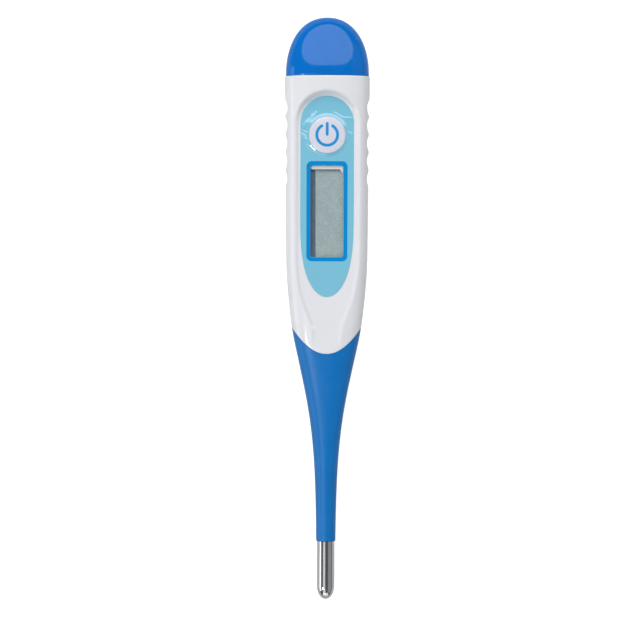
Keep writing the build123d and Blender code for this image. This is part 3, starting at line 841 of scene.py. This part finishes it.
piece("sleeve_edge", sleeve_root_form(), materials["sleeve_blue"], "casing", ("sleeve_root",))
for index in range(HINGE_COUNT):
    top = hinge_y(index) + HINGE_PITCH / 2
    made = piece("sleeve_bend_%d" % (index + 1), straight_sleeve(top, top - HINGE_PITCH, 18),
                 materials["sleeve_blue"], None, ("sleeve_%d" % (index + 1),))
    bend(made)
piece("sleeve_end", sleeve_end_form(), materials["sleeve_blue"], "flex_8", ("sleeve_8",))


# ---------------- lead wires
WIRE_X = 0.32
WIRE_RADIUS = 0.18
WIRE_TOP_Y = 4.6
WIRE_END_Y = -60.9


def wire_pair(top, bottom, count):
    form = Form()
    for side in (-WIRE_X, WIRE_X):
        loops = []
        for i in range(count + 1):
            y = top + (bottom - top) * i / count
            loops.append(form.add([(x, y, z + AXIS_Z) for x, z in circle(WIRE_RADIUS, 12, side)]))
        form.chain(loops)
        form.close(loops[0])
        form.close(loops[-1])
    return form


piece("wires_root", wire_pair(WIRE_TOP_Y, HINGE_FIRST_Y + HINGE_PITCH / 2, 4), materials["wire_enamel"],
      "casing", ("lead_wires",))
for index in range(HINGE_COUNT):
    top = hinge_y(index) + HINGE_PITCH / 2
    made = piece("wires_bend_%d" % (index + 1), wire_pair(top, top - HINGE_PITCH, 16),
                 materials["wire_enamel"], None, ("lead_wires",))
    bend(made)
piece("wires_end", wire_pair(hinge_y(HINGE_COUNT - 1) - HINGE_PITCH / 2, WIRE_END_Y, 4),
      materials["wire_enamel"], "flex_8", ("lead_wires",))


# ---------------- battery cap
CAP_SIDES = 96
CAP_HALF_WIDTH = 9.15
CAP_HALF_HEIGHT = 5.18
CAP_WALL = 1.4
CAP_EDGE_ROUND = 0.16
DOME_POWER = 2.2


def dome_ring(share, inset, shrink_extra=0.0):
    """One ring of the dome, at a share of its length from the joint."""
    shrink = (1.0 - share ** DOME_POWER) ** (1.0 / DOME_POWER)
    wide = (CAP_HALF_WIDTH - inset) * shrink - shrink_extra
    high = (CAP_HALF_HEIGHT - inset) * shrink - shrink_extra
    power = ROUND_POWER + SQUARE_GAIN * (1.0 - share ** 2)
    y = CAP_JOINT_Y + JOINT_GAP + (CAP_END_Y - CAP_JOINT_Y - JOINT_GAP - inset) * share
    low = above_back if inset == 0.0 else (lambda z: z)
    middle = centre_height(CAP_JOINT_Y)
    ring = []
    for i in range(CAP_SIDES):
        x, z = section_point(360.0 * i / CAP_SIDES, wide, high, middle, power)
        ring.append((x, y, low(z)))
    return ring


def cap_form():
    form = Form()
    shares = [math.sin(math.radians(90.0 * i / 44)) for i in range(44)]
    outer = []
    for step in range(4):
        a = math.radians(90.0 * step / 4)
        ring = dome_ring(0.0, 0.0, CAP_EDGE_ROUND * (1.0 - math.sin(a)))
        outer.append(form.add([(x, y + CAP_EDGE_ROUND * (1.0 - math.cos(a)), z) for x, y, z in ring]))
    outer += [form.add(dome_ring(share, 0.0)) for share in shares if share > 0.02]
    inner = [form.add(dome_ring(share, CAP_WALL)) for share in shares]
    form.chain(outer)
    form.chain(inner)
    middle = centre_height(CAP_JOINT_Y)
    form.fan(outer[-1], (0.0, CAP_END_Y, middle))
    form.fan(inner[-1], (0.0, CAP_END_Y - CAP_WALL, middle))
    form.bridge(outer[0], inner[0])
    return form


piece("cap_dome", cap_form(), materials["cap_blue"], "battery_cap", ("cap_shell",))


# ---------------- label
LABEL_HALF_WIDTH = 5.80
LABEL_ROUND_Y = 40.35
LABEL_SHOULDER_Y = 20.0
LABEL_BOTTOM_Y = 2.5
LABEL_SPLIT_Y = 32.2
LABEL_BEVEL = 0.06
DIMPLE_RADIUS = 5.1
DIMPLE_SLOPE_LENGTH = 0.66
DIMPLE_SLOPE_START = 0.05
DIMPLE_EDGE_HARDNESS = 16.0
DIMPLE_THICKNESS = 0.13
FILM_CLEARANCE = 0.03
FAR = 99.0

# each ridge: start, end, height, half width, bow to one side
RIDGES = (
    ((-5.8, 37.9), (-4.1, 36.7), 0.100, 0.24, -0.12),
    ((-5.6, 38.7), (-3.9, 38.0), 0.080, 0.18, 0.10),
    ((-5.0, 36.9), (-2.9, 34.0), 0.060, 0.20, 0.35),
    ((-5.8, 38.9), (-2.2, 42.8), 0.130, 0.70, 0.45),
    ((1.2, 42.5), (3.4, 41.3), 0.090, 0.17, -0.14),
    ((2.7, 41.6), (5.7, 41.3), 0.065, 0.18, 0.08),
    ((4.2, 38.2), (5.75, 37.8), 0.055, 0.22, 0.05),
    ((3.2, 35.0), (5.3, 33.5), 0.035, 0.35, 0.10),
)
WRINKLE = 0.05
WRINKLE_TURNS = 3.7


def ridge_height(x, y):
    """How far the film's wrinkles stand up."""
    total = 0.0
    for (x0, y0), (x1, y1), height, wide, bow in RIDGES:
        dx, dy = x1 - x0, y1 - y0
        length = math.hypot(dx, dy)
        along = ((x - x0) * dx + (y - y0) * dy) / length ** 2
        if not 0.0 < along < 1.0:
            continue
        off = ((x - x0) * dy - (y - y0) * dx) / length - bow * math.sin(math.pi * along)
        off += WRINKLE * math.sin(WRINKLE_TURNS * along * length)
        total += height * math.sin(math.pi * along) ** 0.8 * math.exp(-((off / wide) ** 2))
    return total


def reach_to_edge(angle):
    """From the button's centre, how far the label or the split line is."""
    dx, dy = math.cos(angle), math.sin(angle)
    reach = FAR
    if dy < -1e-9:
        reach = min(reach, (LABEL_SPLIT_Y - BUTTON_Y) / dy)
    if abs(dx) > 1e-9:
        side = LABEL_HALF_WIDTH / abs(dx)
        if BUTTON_Y + dy * side <= LABEL_ROUND_Y:
            return min(reach, side)
    if dy > 0:
        drop = BUTTON_Y - LABEL_ROUND_Y
        b = drop * dy
        reach = min(reach, -b + math.sqrt(b * b - drop * drop + LABEL_HALF_WIDTH ** 2))
    return reach


def label_form():
    line_x = [-LABEL_HALF_WIDTH, -LABEL_HALF_WIDTH + LABEL_BEVEL] + [i * 0.4 for i in range(-14, 15)]
    line_x += [LABEL_HALF_WIDTH - LABEL_BEVEL, LABEL_HALF_WIDTH]
    down = LABEL_SPLIT_Y - BUTTON_Y
    low_angles = [math.atan2(down, x) for x in line_x]
    start = low_angles[-1]
    sweep = low_angles[0] + 2 * math.pi - start
    turns = 320
    angles = low_angles + [start + sweep * i / turns for i in range(1, turns)]
    points = []
    steps = 26
    for step in range(steps + 1):
        for number, angle in enumerate(angles):
            if number < len(line_x):
                edge = (line_x[number] ** 2 + down ** 2) ** 0.5
            else:
                edge = reach_to_edge(angle)
            inner = edge - LABEL_BEVEL * 1.1
            radius = edge
            if step < steps:
                radius = DIMPLE_RADIUS + (inner - DIMPLE_RADIUS) * step / (steps - 1)
            points.append((radius * math.cos(angle), BUTTON_Y + radius * math.sin(angle)))
    count = len(angles)
    faces = ring_faces(steps, count)
    line = [steps * count + i for i in range(len(line_x))]
    # lower part: bevel ring, then a filled outline with the window cut from it
    ys = [LABEL_SPLIT_Y - (LABEL_SPLIT_Y - LABEL_SHOULDER_Y) * i / 10 for i in range(11)]
    right = [(LABEL_HALF_WIDTH, y) for y in ys]
    for i in range(1, 30):
        a = math.radians(90.0 * i / 30)
        drop = (LABEL_SHOULDER_Y - LABEL_BOTTOM_Y) * math.sin(a) ** (2.0 / SQUARE_POWER)
        right.append((LABEL_HALF_WIDTH * math.cos(a), LABEL_SHOULDER_Y - drop))
    outline = right + [(0.0, LABEL_BOTTOM_Y)] + [(-x, y) for x, y in reversed(right)]
    inset = [(LABEL_HALF_WIDTH - LABEL_BEVEL, LABEL_SPLIT_Y)]
    for before, here, after in zip(outline, outline[1:], outline[2:]):
        tx, ty = after[0] - before[0], after[1] - before[1]
        length = math.hypot(tx, ty)
        inset.append((here[0] + ty / length * LABEL_BEVEL, here[1] - tx / length * LABEL_BEVEL))
    inset.append((-LABEL_HALF_WIDTH + LABEL_BEVEL, LABEL_SPLIT_Y))
    outer_ids = [line[-1]] + [len(points) + i for i in range(len(outline) - 2)] + [line[0]]
    points += outline[1:-1]
    inset_ids = [line[-2]] + [len(points) + i for i in range(len(inset) - 2)] + [line[1]]
    points += inset[1:-1]
    for i in range(len(outer_ids) - 1):
        faces.append((outer_ids[i], inset_ids[i], inset_ids[i + 1], outer_ids[i + 1]))
    hole = rounded_rectangle(WINDOW_HALF_WIDTH, WINDOW_LOW_Y, WINDOW_HIGH_Y, WINDOW_ROUND)
    hole_ids = [len(points) + i for i in range(len(hole))]
    points += hole
    ring_ids = inset_ids + line[2:-2]
    ids = ring_ids + hole_ids
    loops = [[Vector((*points[i], 0.0)) for i in ring_ids], [Vector((*points[i], 0.0)) for i in hole_ids]]
    for a, b, c in tessellate_polygon(loops):
        faces.append((ids[a], ids[b], ids[c]))
    dropped = set(outer_ids) | {steps * count + i for i in range(len(line_x), count)}
    low = {tuple(points[i]) for i in dropped}

    def top(x, y):
        if (x, y) in low:
            return FILM_TOP_Z - LABEL_BEVEL
        return FILM_TOP_Z + (ridge_height(x, y) if y > LABEL_SPLIT_Y + 0.01 else 0.0)

    return sheet_form(points, faces, top, lambda x, y: FLOOR_Z + 0.002)


piece("label_sheet", label_form(), materials["label_film"], "casing", ("label_film",), 25.0)


def dimple_form():
    """The ring of film that climbs to the button's rim."""
    sides, steps = 200, 16
    start = BUTTON_RADIUS + FILM_CLEARANCE
    points = []
    for step in range(steps + 1):
        points += circle(start + (DIMPLE_RADIUS - start) * step / steps, sides, 0.0, BUTTON_Y)

    def top(x, y):
        away = (math.hypot(x, y - BUTTON_Y) - BUTTON_RADIUS) / DIMPLE_SLOPE_LENGTH
        fallen = soft_clamp(away - DIMPLE_SLOPE_START, DIMPLE_EDGE_HARDNESS)
        climb = (BUTTON_RIM_Z - FILM_TOP_Z - FILM_CLEARANCE) * (1.0 - fallen)
        return FILM_TOP_Z + climb + ridge_height(x, y)

    return sheet_form(points, ring_faces(steps, sides), top, lambda x, y: top(x, y) - DIMPLE_THICKNESS)


dimple = piece("label_dimple", dimple_form(), materials["label_film"], None, ("label_film",), 60.0)
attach(dimple, "casing")
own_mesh(dimple)


# ---------------- button
BUTTON_EDGE_DROP = 0.10
BUTTON_EDGE_SHARE = 0.90
BUTTON_UNDER_Z = 7.36
# the button's rings, as shares of its radius, closest at the rim
BUTTON_SHARES = (0.06, 0.15, 0.25, 0.35, 0.45, 0.55, 0.65, 0.75, 0.83, 0.89, 0.92, 0.945, 0.965, 0.98,
                 0.99, 1.0)


def button_top(x, y):
    share = min(1.0, math.hypot(x, y - BUTTON_Y) / BUTTON_RADIUS)
    edge = max(0.0, (share - BUTTON_EDGE_SHARE) / (1.0 - BUTTON_EDGE_SHARE))
    return BUTTON_RIM_Z + BUTTON_CROWN * (1.0 - share ** 2) - BUTTON_EDGE_DROP * edge ** 2


def button_form():
    form = Form()
    sides = 128
    loops = []
    for share in BUTTON_SHARES:
        ring = circle(BUTTON_RADIUS * share, sides, 0.0, BUTTON_Y)
        loops.append(form.add([(x, y, button_top(x, y)) for x, y in ring]))
    rim = circle(BUTTON_RADIUS, sides, 0.0, BUTTON_Y)
    loops.append(form.add([(x, y, BUTTON_UNDER_Z) for x, y in rim]))
    form.chain(loops)
    form.fan(loops[0], (0.0, BUTTON_Y, BUTTON_RIM_Z + BUTTON_CROWN))
    form.fan(loops[-1], (0.0, BUTTON_Y, BUTTON_UNDER_Z))
    return form


piece("button_disc", button_form(), materials["button_white"], "button", ("button_cap",))


SYMBOL_HALF = 0.315
SYMBOL_RADIUS = 2.26
SYMBOL_GAP = 31.0
BAR_LOW = -0.2
BAR_HIGH = 2.8
INK_ABOVE = 0.02
INK_BELOW = 0.03
STROKE_STEP = 0.16


def stroke(place, length):
    """A printed stroke with rounded ends, on the button's dome.

    place gives (x, y) for a length along the stroke and an offset to its side.
    """
    rows = []
    for k in (4.8, 4.2, 3.2, 2.0, 1.0):
        a = math.radians(18.0 * k)
        rows.append((-SYMBOL_HALF * math.sin(a), SYMBOL_HALF * math.cos(a)))
    steps = max(6, round(length / STROKE_STEP))
    rows += [(length * i / steps, SYMBOL_HALF) for i in range(steps + 1)]
    rows += [(length - along, half) for along, half in reversed(rows[:5])]
    points = [place(along, half * (i / 3.0 - 1.0)) for along, half in rows for i in range(7)]
    faces = []
    for r in range(len(rows) - 1):
        for i in range(6):
            faces.append((7 * r + i, 7 * r + i + 1, 7 * r + i + 8, 7 * r + i + 7))
    return sheet_form(points, faces, lambda x, y: button_top(x, y) + INK_ABOVE,
                      lambda x, y: button_top(x, y) - INK_BELOW)


def on_ring(along, offset):
    a = math.radians(90.0 + SYMBOL_GAP) + along / SYMBOL_RADIUS
    return (SYMBOL_RADIUS + offset) * math.cos(a), BUTTON_Y + (SYMBOL_RADIUS + offset) * math.sin(a)


def on_bar(along, offset):
    return offset, BUTTON_Y + BAR_LOW + SYMBOL_HALF + along


ring_length = SYMBOL_RADIUS * math.radians(360.0 - 2.0 * SYMBOL_GAP)
piece("power_ring", stroke(on_ring, ring_length), materials["symbol_blue"], "button")
bar_length = BAR_HIGH - BAR_LOW - 2.0 * SYMBOL_HALF
piece("power_bar", stroke(on_bar, bar_length), materials["symbol_blue"], "button")


# ---------------- window
# the border's two outlines: half width, low y, high y, corner radius
BORDER_OUTSIDE = (4.45, 10.2, 31.95, 1.15)
BORDER_INSIDE = (3.62, 11.05, 31.12, 0.55)
BORDER_ABOVE = 0.015
BORDER_BELOW = 0.03
# the dark strip along the glass's left edge is painted shadow, the shade of the window's left wall on the
# display; and the frame's small corner web
SHADOW_STRIP_OUTLINE = [(-4.4, 10.7), (-2.42, 10.7), (-2.50, 30.05), (-4.4, 30.05)]
SHADOW_STRIP_TOP_Z = 7.312
SHADOW_STRIP_BOTTOM_Z = 7.302
WEB_OUTLINE = [(2.75, 30.22), (3.52, 29.25), (3.54, 30.22)]
WEB_TOP_Z = 8.18
WEB_BOTTOM_Z = 7.34


def flat(z):
    return lambda x, y: z


border = plate([rounded_rectangle(*BORDER_OUTSIDE), rounded_rectangle(*BORDER_INSIDE)],
               flat(FILM_TOP_Z + BORDER_ABOVE), flat(FILM_TOP_Z - BORDER_BELOW))
piece("window_border", border, materials["print_blue"], "casing")

# painted shadow: a thin dark sheet laid on the display where the window's left wall shades it
painted_shadow_strip = plate([SHADOW_STRIP_OUTLINE], flat(SHADOW_STRIP_TOP_Z), flat(SHADOW_STRIP_BOTTOM_Z))
piece("lcd_painted_shadow_strip", painted_shadow_strip, materials["lcd_painted_shadow"], "casing")
web = plate([WEB_OUTLINE], flat(WEB_TOP_Z), flat(WEB_BOTTOM_Z))
piece("lcd_frame_corner", web, materials["inner_white"], "casing")


# ---------------- metal tip
METAL_RADIUS = 1.95
METAL_START_Y = SLEEVE_END_Y - 0.02
NOSE_LENGTH = 2.9
NOSE_BLUNTNESS = 0.96
NOSE_STEPS = 15
TIP_SIDES = 72
# the rolled edge at the sleeve: how far down from its start each ring is, and its radius
METAL_EDGE = ((0.0, 1.80), (0.02, 1.90), (0.07, 1.945), (0.17, METAL_RADIUS))
BORE_RADIUS = 1.755
# the inside, from the sleeve to the nose: y and radius
METAL_INSIDE = ((METAL_START_Y, BORE_RADIUS), (-60.4, BORE_RADIUS), (-61.6, 1.55), (-62.6, 1.05),
                (-63.1, 0.45))
METAL_INSIDE_END_Y = -63.28


def tip_rings(form, profile):
    rings = [form.add([(x, y, AXIS_Z + z) for x, z in circle(r, TIP_SIDES)]) for y, r in profile]
    form.chain(rings)
    return rings


def tip_form():
    form = Form()
    outside = [(METAL_START_Y - down, radius) for down, radius in METAL_EDGE]
    outside += [(y, METAL_RADIUS) for y in (-53.0, -55.0, -57.0, -59.0)]
    for i in range(NOSE_STEPS):
        a = math.radians(90.0 * i / NOSE_STEPS)
        y = TIP_END_Y + NOSE_LENGTH - NOSE_LENGTH * math.sin(a)
        outside.append((y, METAL_RADIUS * math.cos(a) ** NOSE_BLUNTNESS))
    outer = tip_rings(form, outside)
    form.fan(outer[-1], (0.0, TIP_END_Y, AXIS_Z))
    inner = tip_rings(form, METAL_INSIDE)
    form.bridge(outer[0], inner[0])
    form.fan(inner[-1], (0.0, METAL_INSIDE_END_Y, AXIS_Z))
    return form


piece("tip_shell", tip_form(), materials["tip_steel"], "flex_8", ("metal_tip",))


# ---------------- materials of the parts kept as built
KEPT = {
    "plug_grey": ("cap_plug",), "seal_black": ("cap_seal",), "clear_window": ("display_window",),
    "inner_white": ("lcd_frame", "board_carrier", "button_plunger"), "lcd_grey": ("lcd_polariser",),
    "lcd_glass": ("lcd_front_glass", "lcd_rear_glass"), "lcd_reflector": ("lcd_reflector",),
    "zebra_rubber": ("zebra_connector",), "board_green": ("circuit_board",),
    "component_grey": ("board_components",), "epoxy_black": ("chip_cover",),
    "spring_steel": ("snap_dome", "battery_contact_positive", "battery_contact_negative"),
    "brass": ("buzzer_plate",), "ceramic_disc": ("buzzer_ceramic",), "cell_steel": ("battery",),
    "holder_white": ("tip_holder",), "thermal_epoxy": ("thermal_epoxy",),
    "bead_black": ("thermistor_bead",),
}
for slot, names in KEPT.items():
    for name in names:
        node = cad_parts[name]
        node.data.materials.clear()
        node.data.materials.append(materials[slot])


# ---------------- floor, light and camera
LIGHT_DISTANCE = 0.9


def softbox(name, across, along, half_across, half_along, radiance, colour=(1.0, 1.0, 1.0),
            aim=(0.0, 0.0, 0.0), shape="RECTANGLE", turn=0.0):
    """A softbox; angles in degrees: across leans to +X, along leans to +Y, from straight above."""
    light = bpy.data.lights.new(name, "AREA")
    light.shape = shape
    light.size = 2.0 * LIGHT_DISTANCE * math.tan(math.radians(half_across))
    light.size_y = 2.0 * LIGHT_DISTANCE * math.tan(math.radians(half_along))
    fullness = math.pi / 4 if shape == "ELLIPSE" else 1.0
    light.energy = radiance * math.pi * light.size * light.size_y * fullness
    light.color = colour
    made = bpy.data.objects.new(name, light)
    bpy.context.scene.collection.objects.link(made)
    lean = Euler((math.radians(-along), math.radians(across), 0.0)).to_matrix()
    made.rotation_euler = (lean @ Matrix.Rotation(math.radians(turn), 3, "Z")).to_euler()
    away = lean @ Vector((0.0, 0.0, LIGHT_DISTANCE))
    made.location = Vector(aim) + away
    return made


def floor_material():
    """White paper that stays white seen from above, and mirrors darker in the object's sides."""
    look = Look("floor_paper")
    base = look.varied([0.62, 0.62, 0.625], 0.01, 60.0)
    look.rough(0.8, 0.05, 5.0)
    look.bump(0.01, 1.5)
    facing = look.node("ShaderNodeLayerWeight", Blend=0.5).outputs["Facing"]
    look.link(look.remap(facing, 0.80, 0.0, 0.02, 0.25), look.shader.inputs["Emission Strength"])
    look.shader.inputs["Emission Color"].default_value = (1.0, 1.0, 1.0, 1.0)
    return look.done(base, Specular_IOR_Level=0.1)


FLOOR_REACH = 1500.0
FLOOR_DROP = 0.05
ground = Form()
corners = [(x * FLOOR_REACH, y * FLOOR_REACH, -FLOOR_DROP) for x, y in ((-1, -1), (1, -1), (1, 1), (-1, 1))]
ground.faces.append(tuple(ground.add(corners)))
floor = piece("floor", ground, floor_material(), None)

softbox("key", 0.0, 42.0, 38.0, 32.0, 2.32, aim=(0.0, 0.055, 0.008), shape="ELLIPSE")
softbox("left_low", -74.0, -8.0, 12.0, 22.0, 1.7)
softbox("overhead", -19.5, -31.0, 14.5, 28.0, 0.9, (0.82, 0.93, 1.10))
softbox("glint", -32.7, -20.6, 2.6, 6.5, 27.0, turn=38.0)
softbox("front", 0.0, -66.0, 30.0, 16.0, 0.95)
softbox("right", 55.0, 0.0, 25.0, 40.0, 0.27, (0.90, 0.97, 1.0))

world = bpy.data.worlds.new("studio")
world.use_nodes = True
background = world.node_tree.nodes["Background"]
background.inputs["Color"].default_value = (1.0, 0.98, 0.95, 1.0)
background.inputs["Strength"].default_value = 0.12
scene = bpy.context.scene
scene.world = world
scene.view_settings.view_transform = "Standard"

CAMERA_X = -1.42
CAMERA_Y = -2.55
CAMERA_HEIGHT = 665.0
CAMERA_ROLL = 0.2
lens = bpy.data.cameras.new("camera")
lens.lens = 170.0
lens.sensor_width = 36.0
camera = bpy.data.objects.new("camera", lens)
scene.collection.objects.link(camera)
camera.location = (CAMERA_X * MM, CAMERA_Y * MM, CAMERA_HEIGHT * MM)
camera.rotation_euler = (0.0, 0.0, math.radians(CAMERA_ROLL))
scene.camera = camera
